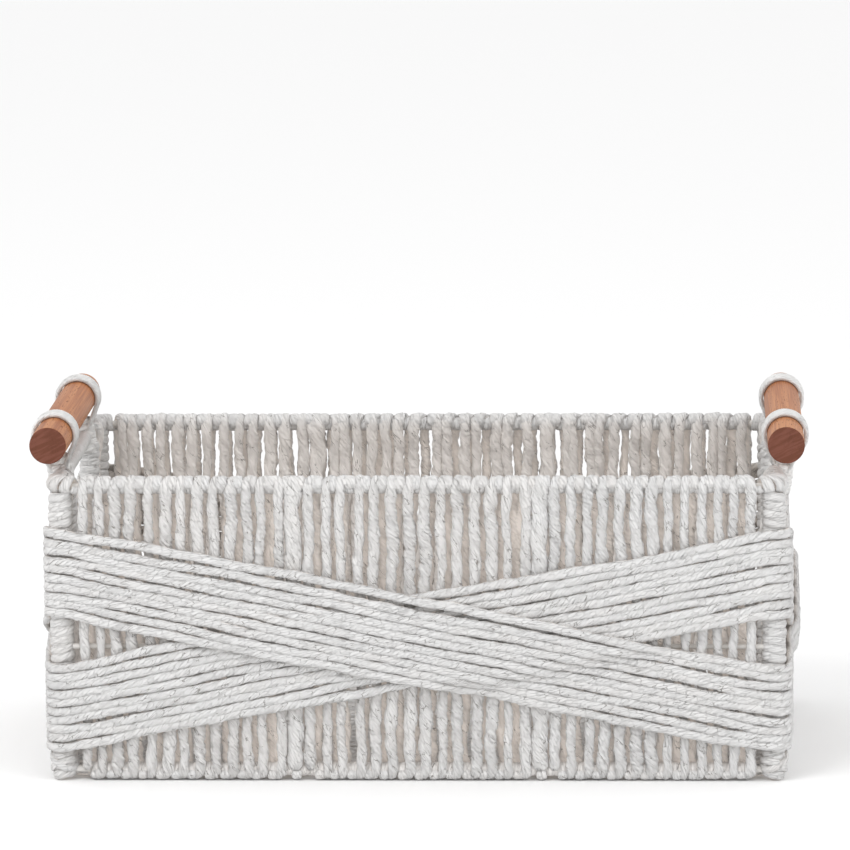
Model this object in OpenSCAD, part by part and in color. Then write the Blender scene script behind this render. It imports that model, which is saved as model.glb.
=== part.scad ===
// Open storage basket: a white wire frame wound with paper rope, a crossed rope band
// round each side, and a wooden dowel handle hung in two rope loops over each end.
// The origin is at the middle of the underside. X runs along the basket, -Y is the front.

/* [Basket] */
// Length over the rope walls
basket_length = 400; // [320:1:520]
// Width over the rope walls
basket_width = 228; // [190:1:320]
// Height of the rope walls
wall_height = 168; // [150:1:260]
// Thickness of a wall through both rope layers
wall_thickness = 12; // [12:0.5:14]
// Thickness of one layer of rope
rope_layer = 4; // [3:0.1:4]

/* [Frame wires] */
// Diameter of the rim, base, corner and opening wires
frame_wire_d = 3.6; // [2:0.1:3.6]
// Diameter of the thin wires inside the walls and the floor
thin_wire_d = 3; // [2:0.1:3]
// Bend radius of the rim and base wires at the corners
corner_radius = 8; // [7:0.5:14]
// Height of the wire that runs inside the walls
mid_wire_height = 74; // [40:1:80]
// Number of wires across the floor
cross_wire_count = 7; // [3:1:9]

/* [Handles] */
// Diameter of a dowel
dowel_d = 20; // [16:0.5:25]
// Length of a dowel
dowel_length = 198; // [160:1:220]
// Height of the dowel axis above the walls
dowel_rise = 16; // [12:0.5:20]
// Distance of the dowel axis outside the middle of the end wall
dowel_overhang = 6; // [0:0.5:8]
// How far the dowels have slid towards the front in their loops
dowel_slide = 7; // [0:0.5:12]
// Distance between the two loops of a handle
loop_spacing = 130; // [90:1:140]
// Width of a loop along the dowel
loop_width = 15; // [12.5:0.5:18]
// Thickness of the rope in a loop
loop_rope_d = 2.8; // [2.5:0.1:5]
// Height of a hand opening
opening_height = 38; // [25:1:42]

/* [Crossed bands] */
// Height of a band, measured up the wall
band_height = 48; // [30:1:50]
// Depth of the middle of a band below the top of the walls where it is high
band_drop = 53; // [52:1:70]
// Height of the middle of a band where it is low
band_low = 41; // [30:1:50]
// Thickness of a band
band_thickness = 4; // [3:0.1:5]

/* [Hidden] */
$fn = 64;
// Gap between a wire and the rope round it
wire_gap = 0.1;
// Gap between the dowel and its loops
dowel_gap = 0.05;
// Gap between neighbouring rope panels
panel_gap = 0.2;
dowel_chamfer = 1;
// Angle below the dowel axis at which a loop narrows to its neck
neck_angle = 35;
// How far the over band rides past the edge of the under band
band_lap = 8;

half_length = basket_length / 2;
half_width = basket_width / 2;
// Middle of the walls, where the wires run
wall_mid = wall_thickness / 2;
mid_x = half_length - wall_mid;
mid_y = half_width - wall_mid;
rim_z = wall_height - wall_mid;
base_z = wall_mid;
panel_top = rim_z - wall_mid;
floor_top = wall_thickness;
// Centre of each corner bend, and the corner posts inside it
bend_x = mid_x - corner_radius;
bend_y = mid_y - corner_radius;
post_x = bend_x + corner_radius * cos(45);
post_y = bend_y + corner_radius * sin(45);
post_base = base_z + frame_wire_d / 2;
post_top = rim_z - frame_wire_d / 2;
// Walls stop at the wound corner posts
panel_x = post_x - wall_mid - panel_gap;
panel_y = post_y - wall_mid - panel_gap;
upright_x = basket_length / 6;
loop_y = loop_spacing / 2;
// Edge of the wound wires beside a hand opening
opening_edge = loop_y + wall_mid;
bar_z = panel_top - opening_height - wall_mid;
dowel_x = mid_x + dowel_overhang;
dowel_z = wall_height + dowel_rise;
loop_r = dowel_d / 2 + dowel_gap + loop_rope_d;
band_high = wall_height - band_drop;
cross_wire_pitch = 2 * bend_x / (cross_wire_count + 1);
cross_wire_end = mid_y - frame_wire_d / 2;
floor_x = mid_x - frame_wire_d / 2 - panel_gap;
floor_y = mid_y - frame_wire_d / 2 - panel_gap;

// ---- Shared shapes ----

// A round bar along X or Y, centred on the origin
module bar_x(length, d) rotate([0, 90, 0]) cylinder(h = length, d = d, center = true);
module bar_y(length, d) rotate([90, 0, 0]) cylinder(h = length, d = d, center = true);

// What is drawn for the front right corner, moved to another corner by its two signs
module at_corner(side_x, side_y)
    mirror([side_x < 0 ? 1 : 0, 0, 0])
        mirror([0, side_y > 0 ? 0 : 1, 0])
            children();

// What is drawn for the right end, moved to another end by its sign
module at_end(side_x) mirror([side_x < 0 ? 1 : 0, 0, 0]) children();

// What is drawn for the back wall, moved to another wall by its sign
module at_wall(side_y) mirror([0, side_y < 0 ? 1 : 0, 0]) children();

// A wire bent into a rectangle with round corners
module wire_ring(z, d) {
    for (side = [-1, 1]) {
        translate([0, side * mid_y, z]) bar_x(2 * bend_x, d);
        translate([side * mid_x, 0, z]) bar_y(2 * bend_y, d);
        for (side_y = [-1, 1])
            at_corner(side, side_y)
                translate([bend_x, bend_y, z]) corner_bend() circle(d = d);
    }
}

module corner_bend()
    rotate_extrude(angle = 90) translate([corner_radius, 0]) children();

// Section of the rope wound over the rim: a round top on straight sides
module rim_section() {
    circle(d = wall_thickness);
    translate([-wall_mid, -wall_mid]) square([wall_thickness, wall_mid]);
}

module rim_bar_x(length)
    translate([-length / 2, mid_y, rim_z])
        rotate([90, 0, 90]) linear_extrude(length) rim_section();

module rim_bar_y(start, length)
    translate([mid_x, start + length, rim_z])
        rotate([90, 0, 0]) linear_extrude(length) rim_section();

// ---- Wire frame ----

module rim_wire() color("white") wire_ring(rim_z, frame_wire_d);

module base_wire() color("white") wire_ring(base_z, frame_wire_d);

module corner_post_wire(d)
    translate([post_x, post_y, post_base]) cylinder(h = post_top - post_base, d = d);

module corner_post(side_x, side_y)
    color("white") at_corner(side_x, side_y) corner_post_wire(frame_wire_d);

module upright_wires(d)
    for (x = [-upright_x, upright_x])
        translate([x, mid_y, post_base]) cylinder(h = post_top - post_base, d = d);

module uprights(side_y) color("white") at_wall(side_y) upright_wires(thin_wire_d);

// Straight lengths welded between the corner posts and the uprights
module mid_wires() {
    post_side = post_x - frame_wire_d / 2;
    upright_side = upright_x + thin_wire_d / 2;
    outer_length = post_side - upright_side;
    inner_length = 2 * (upright_x - thin_wire_d / 2);
    end_length = 2 * (post_y - frame_wire_d / 2);
    color("white") {
        for (side = [-1, 1]) {
            translate([side * mid_x, 0, mid_wire_height]) bar_y(end_length, thin_wire_d);
            translate([0, side * mid_y, mid_wire_height]) {
                bar_x(inner_length, thin_wire_d);
                for (end = [-1, 1])
                    translate([end * (upright_side + outer_length / 2), 0, 0])
                        bar_x(outer_length, thin_wire_d);
            }
        }
    }
}

// The wires at both sides of a hand opening and along its lower edge
module opening_wires(d) {
    for (side_y = [-1, 1])
        translate([mid_x, side_y * loop_y, bar_z - frame_wire_d / 2])
            cylinder(h = post_top - bar_z + frame_wire_d / 2, d = d);
    translate([mid_x, 0, bar_z]) bar_y(loop_spacing - frame_wire_d, d);
}

module opening_wire(side_x) color("white") at_end(side_x) opening_wires(frame_wire_d);

module cross_wires(d)
    for (i = [1 : cross_wire_count])
        translate([i * cross_wire_pitch - bend_x, 0, base_z])
            bar_y(2 * cross_wire_end, d);

module floor_cross_wires() color("white") cross_wires(thin_wire_d);

// ---- Rope panels ----

module floor_ropes()
    color("whitesmoke") difference() {
        translate([-floor_x, -floor_y, 0]) cube([2 * floor_x, 2 * floor_y, floor_top]);
        cross_wires(thin_wire_d + 2 * wire_gap);
        for (side_x = [-1, 1], side_y = [-1, 1])
            at_corner(side_x, side_y)
                translate([post_x, post_y, -1])
                    cylinder(h = floor_top + 2, r = wall_mid + wire_gap);
    }

// One layer of rope on a long wall; the outer layer reaches the ground
module wall_layer(side_y, inset, bottom)
    color("whitesmoke") at_wall(side_y)
        translate([-panel_x, half_width - inset - rope_layer, bottom])
            cube([2 * panel_x, rope_layer, panel_top - bottom]);

// One layer of rope on an end wall: below the hand opening and at both its sides
module end_layer(side_x, inset, bottom)
    color("whitesmoke") at_end(side_x)
        translate([half_length - inset - rope_layer, 0, bottom]) {
            below = bar_z - wall_mid - bottom;
            beside = panel_y - opening_edge - panel_gap;
            translate([0, -opening_edge, 0]) cube([rope_layer, 2 * opening_edge, below]);
            for (side_y = [-1, 1])
                at_wall(side_y)
                    translate([0, opening_edge + panel_gap, 0])
                        cube([rope_layer, beside, panel_top - bottom]);
        }

// Distance of the inner layer of rope from the outside of the wall
inner_inset = wall_thickness - rope_layer;

// ---- Rope wound round the wires ----

module wall_rim_wrap(side_y)
    color("whitesmoke") at_wall(side_y) difference() {
        rim_bar_x(2 * bend_x);
        translate([0, mid_y, rim_z]) bar_x(2 * bend_x + 2, frame_wire_d + 2 * wire_gap);
        upright_wires(thin_wire_d + 2 * wire_gap);
    }

// Three lengths: between the two loops, and from each loop to its corner
module end_rim_wrap(side_x) {
    loop_edge = loop_y + loop_width / 2;
    middle_length = loop_spacing - loop_width;
    color("whitesmoke") at_end(side_x) difference() {
        union() {
            rim_bar_y(-middle_length / 2, middle_length);
            rim_bar_y(loop_edge, bend_y - loop_edge);
            rim_bar_y(-bend_y, bend_y - loop_edge);
        }
        translate([mid_x, 0, rim_z]) bar_y(2 * bend_y + 2, frame_wire_d + 2 * wire_gap);
    }
}

module corner_wrap(side_x, side_y)
    color("whitesmoke") at_corner(side_x, side_y) difference() {
        union() {
            translate([post_x, post_y, 0]) cylinder(h = panel_top, d = wall_thickness);
            translate([bend_x, bend_y, rim_z]) corner_bend() rim_section();
        }
        wire_ring(rim_z, frame_wire_d + 2 * wire_gap);
        wire_ring(base_z, frame_wire_d + 2 * wire_gap);
        corner_post_wire(frame_wire_d + 2 * wire_gap);
        translate([bend_x, mid_y, mid_wire_height])
            bar_x(2 * corner_radius, thin_wire_d + 2 * wire_gap);
        translate([mid_x, bend_y, mid_wire_height])
            bar_y(2 * corner_radius, thin_wire_d + 2 * wire_gap);
    }

module opening_post_wraps(side_x)
    color("whitesmoke") at_end(side_x) difference() {
        for (side_y = [-1, 1])
            translate([mid_x, side_y * loop_y, bar_z - wall_mid])
                cylinder(h = panel_top - bar_z + wall_mid, d = wall_thickness);
        opening_wires(frame_wire_d + 2 * wire_gap);
    }

module opening_bar_wrap(side_x)
    color("whitesmoke") at_end(side_x) difference() {
        translate([mid_x, 0, bar_z]) bar_y(loop_spacing, wall_thickness);
        for (side_y = [-1, 1])
            translate([mid_x, side_y * loop_y, bar_z - wall_thickness])
                cylinder(h = 2 * wall_thickness, r = wall_mid + wire_gap);
        opening_wires(frame_wire_d + 2 * wire_gap);
    }

// ---- Crossed bands ----

// A slanting strip on the back wall's outside, seen from behind: from one height at its
// left end to another at its right end, with its inner face at the given depth
module strip(length, left_z, right_z, depth, thickness)
    translate([0, depth + thickness, 0])
        rotate([90, 0, 0]) linear_extrude(thickness)
            polygon([
                [length / 2, left_z - band_height / 2],
                [-length / 2, right_z - band_height / 2],
                [-length / 2, right_z + band_height / 2],
                [length / 2, left_z + band_height / 2]
            ]);

// The band that lies against the wall
module under_band(length, left_z, right_z)
    color("whitesmoke") strip(length, left_z, right_z, 0, band_thickness);

// The band that crosses over it: against the wall at its ends, lifted in the middle
module over_band(length, left_z, right_z) {
    crossing = length * band_height / (2 * abs(left_z - right_z)) + band_lap;
    color("whitesmoke") {
        difference() {
            strip(length, left_z, right_z, 0, band_thickness);
            strip(length, right_z, left_z, -1, band_thickness + 2);
        }
        intersection() {
            strip(length, left_z, right_z, band_thickness, band_thickness);
            translate([-crossing, 0, 0]) cube([2 * crossing, 3 * band_thickness, wall_height]);
        }
    }
}

// What is drawn against the plane Y = 0, moved to the outside of a wall or an end
module on_wall(side_y)
    rotate([0, 0, side_y > 0 ? 0 : 180]) translate([0, half_width, 0]) children();
module on_end(side_x)
    rotate([0, 0, side_x > 0 ? -90 : 90]) translate([0, half_length, 0]) children();

// ---- Handles ----

// Rope turned round the dowel and the rim wire, with its neck on the rim
module handle_loop(side_x, side_y)
    color("white") at_corner(side_x, side_y)
        difference() {
            translate([0, loop_y + loop_width / 2, 0]) {
                rotate([90, 0, 0]) linear_extrude(loop_width) loop_section();
                translate([mid_x, 0, rim_z])
                    rotate([90, 0, 0]) linear_extrude(loop_width) rim_section();
            }
            translate([dowel_x, 0, dowel_z]) bar_y(basket_width, dowel_d + 2 * dowel_gap);
            translate([mid_x, 0, rim_z]) bar_y(basket_width, frame_wire_d + 2 * wire_gap);
            opening_wires(frame_wire_d + 2 * wire_gap);
        }

module loop_section() {
    neck_x = loop_r * cos(neck_angle);
    neck_z = dowel_z - loop_r * sin(neck_angle);
    translate([dowel_x, dowel_z]) circle(r = loop_r);
    polygon([
        [mid_x - wall_mid, panel_top],
        [mid_x + wall_mid, panel_top],
        [dowel_x + neck_x, neck_z],
        [dowel_x - neck_x, neck_z]
    ]);
}

module dowel(side_x) {
    radius = dowel_d / 2;
    end = dowel_length / 2;
    color("peru")
        translate([side_x * dowel_x, -dowel_slide, dowel_z]) rotate([90, 0, 0]) rotate_extrude()
            polygon([
                [0, -end],
                [radius - dowel_chamfer, -end],
                [radius, -end + dowel_chamfer],
                [radius, end - dowel_chamfer],
                [radius - dowel_chamfer, end],
                [0, end]
            ]);
}

rim_wire();
base_wire();
mid_wires();
uprights(-1);  // front_uprights
uprights(1);  // back_uprights
corner_post(-1, -1);  // corner_post_front_left
corner_post(1, -1);  // corner_post_front_right
corner_post(-1, 1);  // corner_post_back_left
corner_post(1, 1);  // corner_post_back_right
opening_wire(-1);  // left_opening_wire
opening_wire(1);  // right_opening_wire
floor_cross_wires();
floor_ropes();
wall_layer(-1, 0, 0);  // front_outer_ropes
wall_layer(-1, inner_inset, floor_top);  // front_inner_ropes
wall_layer(1, 0, 0);  // back_outer_ropes
wall_layer(1, inner_inset, floor_top);  // back_inner_ropes
end_layer(-1, 0, 0);  // left_outer_ropes
end_layer(-1, inner_inset, floor_top);  // left_inner_ropes
end_layer(1, 0, 0);  // right_outer_ropes
end_layer(1, inner_inset, floor_top);  // right_inner_ropes
wall_rim_wrap(-1);  // front_rim_wrap
wall_rim_wrap(1);  // back_rim_wrap
end_rim_wrap(-1);  // left_rim_wrap
end_rim_wrap(1);  // right_rim_wrap
corner_wrap(-1, -1);  // corner_wrap_front_left
corner_wrap(1, -1);  // corner_wrap_front_right
corner_wrap(-1, 1);  // corner_wrap_back_left
corner_wrap(1, 1);  // corner_wrap_back_right
opening_post_wraps(-1);  // left_opening_post_wraps
opening_bar_wrap(-1);  // left_opening_bar_wrap
opening_post_wraps(1);  // right_opening_post_wraps
opening_bar_wrap(1);  // right_opening_bar_wrap
on_wall(-1) over_band(basket_length, band_high, band_low);  // front_over_band
on_wall(-1) under_band(basket_length, band_low, band_high);  // front_under_band
on_wall(1) over_band(basket_length, band_high, band_low);  // back_over_band
on_wall(1) under_band(basket_length, band_low, band_high);  // back_under_band
on_end(-1) over_band(basket_width, band_low, band_high);  // left_over_band
on_end(-1) under_band(basket_width, band_high, band_low);  // left_under_band
on_end(1) over_band(basket_width, band_low, band_high);  // right_over_band
on_end(1) under_band(basket_width, band_high, band_low);  // right_under_band
handle_loop(-1, -1);  // left_front_loop
handle_loop(-1, 1);  // left_back_loop
handle_loop(1, -1);  // right_front_loop
handle_loop(1, 1);  // right_back_loop
dowel(-1);  // left_dowel
dowel(1);  // right_dowel
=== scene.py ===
"""A storage basket wound from white paper rope, with two turned wooden handles.

Laid out as an add-on and run as a script: each operator makes one piece, or a group of
like pieces, round the frame that is loaded first.
"""
import math

import bpy
import numpy as np
from mathutils import Matrix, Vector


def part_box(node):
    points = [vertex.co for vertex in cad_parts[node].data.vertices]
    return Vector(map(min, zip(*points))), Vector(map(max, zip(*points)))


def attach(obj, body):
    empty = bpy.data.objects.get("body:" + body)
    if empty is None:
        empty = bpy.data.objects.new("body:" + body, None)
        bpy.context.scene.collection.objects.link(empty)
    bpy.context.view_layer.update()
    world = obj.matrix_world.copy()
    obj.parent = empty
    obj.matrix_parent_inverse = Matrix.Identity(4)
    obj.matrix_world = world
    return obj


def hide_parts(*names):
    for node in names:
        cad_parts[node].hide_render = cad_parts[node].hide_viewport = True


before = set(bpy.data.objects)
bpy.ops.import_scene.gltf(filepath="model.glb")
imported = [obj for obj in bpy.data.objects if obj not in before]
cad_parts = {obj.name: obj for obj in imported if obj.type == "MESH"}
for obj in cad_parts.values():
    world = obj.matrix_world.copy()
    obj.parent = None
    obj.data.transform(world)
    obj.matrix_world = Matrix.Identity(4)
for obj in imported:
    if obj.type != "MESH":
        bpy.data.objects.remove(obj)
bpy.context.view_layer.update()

bl_info = {
    "name": "Paper Rope Basket",
    "version": (1, 0, 0),
    "blender": (4, 5, 0),
    "location": "3D View > Sidebar > Basket",
    "description": "Winds a rope basket with wooden handles round its wire frame",
    "category": "Object",
}

BASKET, LEFT, RIGHT = "basket", "left_handle", "right_handle"


# ---- Places on the frame ----

def middle(node):
    """The middle of a CAD node's box."""
    low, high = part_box(node)
    return (np.array(low) + np.array(high)) / 2


def half(node):
    """Half the size of a CAD node's box along each axis."""
    low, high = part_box(node)
    return (np.array(high) - np.array(low)) / 2


WIRE_R = half("rim_wire")[2]
THIN_R = half("floor_cross_wires")[2]
MID_X = half("rim_wire")[0] - WIRE_R
MID_Y = half("rim_wire")[1] - WIRE_R
RIM_Z = middle("rim_wire")[2]
BASE_Z = middle("base_wire")[2]
MID_WIRE_Z = middle("mid_wires")[2]
POST_X, POST_Y = middle("corner_post_back_right")[:2]
UPRIGHT_X = half("front_uprights")[0] - THIN_R
LOOP_Y = half("right_opening_wire")[1] - WIRE_R
BAR_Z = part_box("right_opening_wire")[0][2] + WIRE_R
DOWEL_X, DOWEL_Y, DOWEL_Z = middle("right_dowel")
DOWEL_R, DOWEL_HALF = half("right_dowel")[2], half("right_dowel")[1]
LOOP_WIDTH = 2 * half("right_back_loop")[1]
BAND_FLOOR, BAND_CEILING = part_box("front_over_band")[0][2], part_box("front_over_band")[1][2]
CROSS_X = half("floor_cross_wires")[0] - THIN_R
FLOOR_X, FLOOR_Y = half("floor_ropes")[:2]


# ---- What a user would change ----

def length_setting(name, description, default, low, high):
    return bpy.props.FloatProperty(
        name=name, description=description, default=default, min=low, max=high, unit="LENGTH")


def colour_setting(name, description, default):
    return bpy.props.FloatVectorProperty(
        name=name, description=description, default=default, size=3, min=0, max=1,
        subtype="COLOR")


class BasketRopeSettings(bpy.types.PropertyGroup):
    wall_pitch: length_setting(
        "Wall pitch", "Distance between neighbouring ropes in a wall", 0.0089, 0.006, 0.014)
    rope_width: length_setting("Rope width", "Width of a wall rope", 0.0058, 0.003, 0.008)
    twist_length: length_setting(
        "Twist length", "Length of rope in one full twist", 0.022, 0.008, 0.05)
    band_ropes: bpy.props.IntProperty(
        name="Band ropes", description="Ropes side by side in a band", default=10, min=4, max=14)
    band_height: length_setting(
        "Band height", "Height of a band, measured up the wall", 0.048, 0.03, 0.05)
    paper: colour_setting("Paper", "Colour of the paper rope", (0.74, 0.736, 0.732))
    # Painted shade: paper deep between the ropes is painted in this colour; ropes of a lower
    # random tone lean towards it too.
    painted_shade_and_tone: colour_setting(
        "Shade", "Colour of the paper deep between the ropes", (0.77, 0.70, 0.64))
    # Dark flecks in the fibres, and painted shade in the creases, the valleys of the twist and
    # patches of the gaps between ropes.
    dark_fleck_and_shade: colour_setting("Crease", "Colour of the paper's sharp creases", (0.19, 0.17, 0.15))
    wire: colour_setting("Wire", "Colour of the coating on the wires", (0.72, 0.70, 0.67))


class BasketHandleSettings(bpy.types.PropertyGroup):
    loop_turns: bpy.props.IntProperty(
        name="Loop turns", description="Turns of rope in each loop", default=3, min=2, max=5)
    rope: colour_setting("Rope", "Colour of the rope in the loops", (0.87, 0.865, 0.855))
    wood: colour_setting("Wood", "Main colour of the wood", (0.30, 0.096, 0.031))
    light_wood: colour_setting("Light wood", "Colour of the paler grain", (0.52, 0.222, 0.090))
    end_grain: colour_setting("End grain", "Colour of the sawn ends", (0.175, 0.066, 0.045))
    pore: colour_setting("Pores", "Colour of the open pores", (0.10, 0.034, 0.016))


class BasketStageSettings(bpy.types.PropertyGroup):
    focal_length: bpy.props.FloatProperty(
        name="Focal length", description="Focal length of the camera on a 36 mm sensor",
        default=259.9, min=20, max=600)
    distance: length_setting(
        "Distance", "Distance of the camera from the basket", 3.4395, 0.5, 10)
    floor: colour_setting("Floor", "Colour of the floor", (0.93, 0.93, 0.93))
    sky: bpy.props.FloatProperty(
        name="Sky", description="Strength of the light from all round", default=1.0, min=0, max=3)
    key_light: bpy.props.FloatProperty(
        name="Key light", description="Power of the main soft light", default=20, min=0, max=400,
        subtype="POWER")


# ---- Shader nodes from Python expressions ----

class Value:
    """A shader socket. Arithmetic on it adds Math nodes."""

    def __init__(self, finish, socket):
        self.finish, self.socket = finish, socket

    def __add__(self, other):
        return self.finish.math("ADD", self, other)

    def __sub__(self, other):
        return self.finish.math("SUBTRACT", self, other)

    def __rsub__(self, other):
        return self.finish.math("SUBTRACT", other, self)

    def __mul__(self, other):
        return self.finish.math("MULTIPLY", self, other)

    __radd__ = __add__
    __rmul__ = __mul__


class Finish:
    """A material in the making."""

    def __init__(self, name, **constants):
        self.material = bpy.data.materials.new(name)
        self.material.use_nodes = True
        self.tree = self.material.node_tree
        self.tree.nodes.clear()
        self.shader = self.tree.nodes.new("ShaderNodeBsdfPrincipled")
        output = self.tree.nodes.new("ShaderNodeOutputMaterial")
        self.tree.links.new(self.shader.outputs[0], output.inputs[0])
        for name, value in constants.items():
            self.shader.inputs[name.replace("_", " ")].default_value = value

    def node(self, kind, settings=None, inputs=None, output=0):
        """Adds a node: its settings first, then the values or links of its sockets."""
        made = self.tree.nodes.new(kind)
        for name, value in (settings or {}).items():
            setattr(made, name, value)
        for name, value in (inputs or {}).items():
            if isinstance(value, Value):
                self.tree.links.new(value.socket, made.inputs[name])
            else:
                made.inputs[name].default_value = value
        return Value(self, made.outputs[output])

    def math(self, operation, *values):
        return self.node("ShaderNodeMath", {"operation": operation}, dict(enumerate(values)))

    def clamp(self, value, low, high):
        """0 at low, 1 at high, smooth between them."""
        return self.node(
            "ShaderNodeMapRange", {"interpolation_type": "SMOOTHSTEP"},
            {"Value": value, "From Min": low, "From Max": high})

    def mix(self, mask, first, second):
        """A colour between two, by the mask."""
        return self.node("ShaderNodeMix", {"data_type": "RGBA"},
                         {0: mask, 6: opaque(first), 7: opaque(second)}, 2)

    def scaled(self, vector, scale):
        return self.node(
            "ShaderNodeVectorMath", {"operation": "MULTIPLY"}, {0: vector, 1: scale})

    def noise(self, vector, scale, detail=2.0, roughness=0.5):
        return self.node(
            "ShaderNodeTexNoise", None,
            {"Vector": self.scaled(vector, scale), "Scale": 1.0, "Detail": detail,
             "Roughness": roughness}, "Fac")

    def cells(self, vector, scale):
        """Distance to the edges of irregular cells."""
        return self.node(
            "ShaderNodeTexVoronoi", {"feature": "DISTANCE_TO_EDGE"},
            {"Vector": self.scaled(vector, scale), "Scale": 1.0})

    def attribute(self, name):
        return self.node("ShaderNodeAttribute", {"attribute_name": name}, None, "Vector")

    def split(self, vector):
        made = self.tree.nodes.new("ShaderNodeSeparateXYZ")
        self.tree.links.new(vector.socket, made.inputs[0])
        return [Value(self, socket) for socket in made.outputs]

    def feed(self, name, value):
        self.tree.links.new(value.socket, self.shader.inputs[name])

    def bump(self, height, depth):
        self.feed("Normal", self.node(
            "ShaderNodeBump", None, {"Height": height, "Distance": depth}))


def opaque(colour):
    return colour if isinstance(colour, Value) else (*colour, 1.0)


def paper_finish(name, paper, painted_shade_and_tone, dark_fleck_and_shade, creasing, painted_glow, gaps):
    """Twisted paper rope: fine fibres, crumpled facets, dark flecks of painted shade in the sharp
    creases.

    Painted shade darkens the paper deep between the ropes and in the valleys of the twist, and
    painted shadow darkens stretches of the gaps; the deep paper also glows a little with painted
    light.
    """
    finish = Finish(name, Emission_Strength=1.0)
    lay = finish.attribute("lay")
    # Per point: how deep it lies between the ropes, for painted shade; a random tone; the valleys
    # of the twist, for painted shade.
    depth, tone, painted_groove_shade = finish.split(finish.attribute("shade_and_tone_masks"))
    fibres = finish.noise(lay, (1500, 1500, 190), 3.0, 0.6)
    wrinkles = finish.noise(lay, (620, 620, 150))
    facets = finish.cells(lay, (640, 640, 190))
    fold = 1 - finish.clamp(facets, 0.0, 0.06)
    patches = finish.clamp(finish.noise(lay, (260, 260, 150), 1.0), 0.54, 0.68)
    fleck = fold * patches * creasing
    colour = finish.mix(finish.clamp(fibres, 0.25, 0.8) * 0.12, paper, dark_fleck_and_shade)
    colour = finish.mix((1 - tone) * 0.5, colour, painted_shade_and_tone)
    # Painted shade in the valleys of the twist.
    colour = finish.mix(finish.clamp(painted_groove_shade, 0.6, 1.0) * 0.10, colour, dark_fleck_and_shade)
    # Painted shade: paper deep between the ropes takes the shade colour.
    colour = finish.mix(depth * 0.85, colour, painted_shade_and_tone)
    # Dark flecks along the sharp creases, painted shade in the folds.
    colour = finish.mix(fleck, colour, dark_fleck_and_shade)
    # Painted shadow: dark patches along the gaps between the ropes.
    stretches = finish.clamp(finish.noise(lay, (130, 130, 62)), 0.42, 0.60)
    colour = finish.mix(depth * stretches * gaps, colour, dark_fleck_and_shade)
    finish.feed("Base Color", colour)
    finish.feed("Roughness", 0.66 + fibres * 0.25)
    # Painted light: the paper deep between the ropes glows a little.
    finish.feed("Emission Color", finish.mix(depth * painted_glow, (0.0, 0.0, 0.0), colour))
    finish.bump(wrinkles * 0.7 + fibres * 0.25 - fold * 0.3, 0.0012)
    return finish.material


def wood_finish(name, wood, light_wood, end_grain, pore):
    """Straight-grained oiled wood, darker on the sawn ends."""
    finish = Finish(name, Coat_Roughness=0.3, Specular_IOR_Level=0.12)
    place = finish.node("ShaderNodeTexCoord", None, None, "Object")
    # The first value of these marks is 1 on the sawn ends of the wood.
    end = finish.split(finish.attribute("shade_and_tone_masks"))[0]
    drift = finish.noise(place, (45, 6, 45))
    streaks = finish.noise(place, (1500, 16, 1500), 4.0, 0.6)
    rings = finish.noise(place, (260, 5, 120))
    dashes = finish.noise(place, (2400, 120, 2400), 1.0)
    pores = finish.clamp(dashes, 0.60, 0.70) * finish.clamp(rings, 0.40, 0.60)
    grain = finish.clamp(streaks * 0.5 + rings * 0.35 + drift * 0.2, 0.39, 0.66)
    side = finish.mix(grain, wood, light_wood)
    side = finish.mix(pores * 0.8, side, pore)
    x, y, z = finish.split(place)
    slanted = finish.node(
        "ShaderNodeCombineXYZ", None, {"X": x * 0.9 + z * 0.45, "Y": y, "Z": z * 0.9 - x * 0.45})
    across = finish.noise(slanted, (70, 40, 620), 3.0, 0.6)
    face = finish.mix(finish.clamp(across, 0.42, 0.60) * 0.5, end_grain, pore)
    finish.feed("Base Color", finish.mix(end, side, face))
    finish.feed("Roughness", 0.42 + pores * 0.25 + end * 0.2 + streaks * 0.1)
    finish.feed("Coat Weight", 0.07 - end * 0.06)
    finish.bump(streaks * 0.25 - pores * 0.8, 0.0002)
    return finish.material


def wire_finish(name, colour):
    """White coating on wire, a little uneven."""
    finish = Finish(name, Specular_IOR_Level=0.5)
    place = finish.node("ShaderNodeTexCoord", None, None, "Object")
    runs = finish.noise(place, (260, 260, 260))
    finish.feed("Base Color", finish.mix(
        runs * 0.35, colour, tuple(0.82 * part for part in colour)))
    finish.feed("Roughness", 0.32 + runs * 0.2)
    finish.bump(runs, 0.0003)
    return finish.material


# ---- Ropes swept along paths ----

# Points round a rope; spare length and room across in each row of the unrolled rope;
# weights that even out a line.
COLUMNS = 12
ROW_WASTE = 1.04
LAID_GIRTH = 0.014
SOFTEN = np.hanning(9) / np.hanning(9).sum()


def full_turn(count):
    """Angles evenly round a circle."""
    return np.arange(count) / count * math.tau


def waves(rng, along, sizes, share=1.0, loop=None):
    """A smooth random line of about -1 to 1, from a few waves of the given sizes.

    Loop is the length of a closed rope, where the waves have to meet.
    """
    total = np.zeros_like(along)
    for size in sizes:
        spread = rng.uniform(0.8, 1.25)
        if loop is None:
            turns = along / (size * spread)
        else:
            turns = along / loop * max(1, round(loop / size / spread))
        total += np.sin(turns * math.tau + rng.uniform(0, math.tau))
    return share * total / len(sizes)


def unit(vectors):
    return vectors / np.linalg.norm(vectors, axis=-1, keepdims=True)


def circle(angle):
    return np.stack([np.cos(angle), np.sin(angle)], 1)


def smooth(low, high, value):
    """0 below low, 1 above high, smooth between them."""
    t = np.clip((value - low) / (high - low), 0, 1)
    return t * t * (3 - 2 * t)


def tube_faces(rings, columns):
    """The ring and column of each face of a tube, and the face's four corners."""
    ring, column = np.meshgrid(np.arange(rings - 1), np.arange(columns), indexing="ij")
    ring, column = ring.ravel(), column.ravel()
    beside = (column + 1) % columns
    corners = np.stack([ring * columns + column, (ring + 1) * columns + column,
                        (ring + 1) * columns + beside, ring * columns + beside], 1)
    return ring, column, corners


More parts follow.
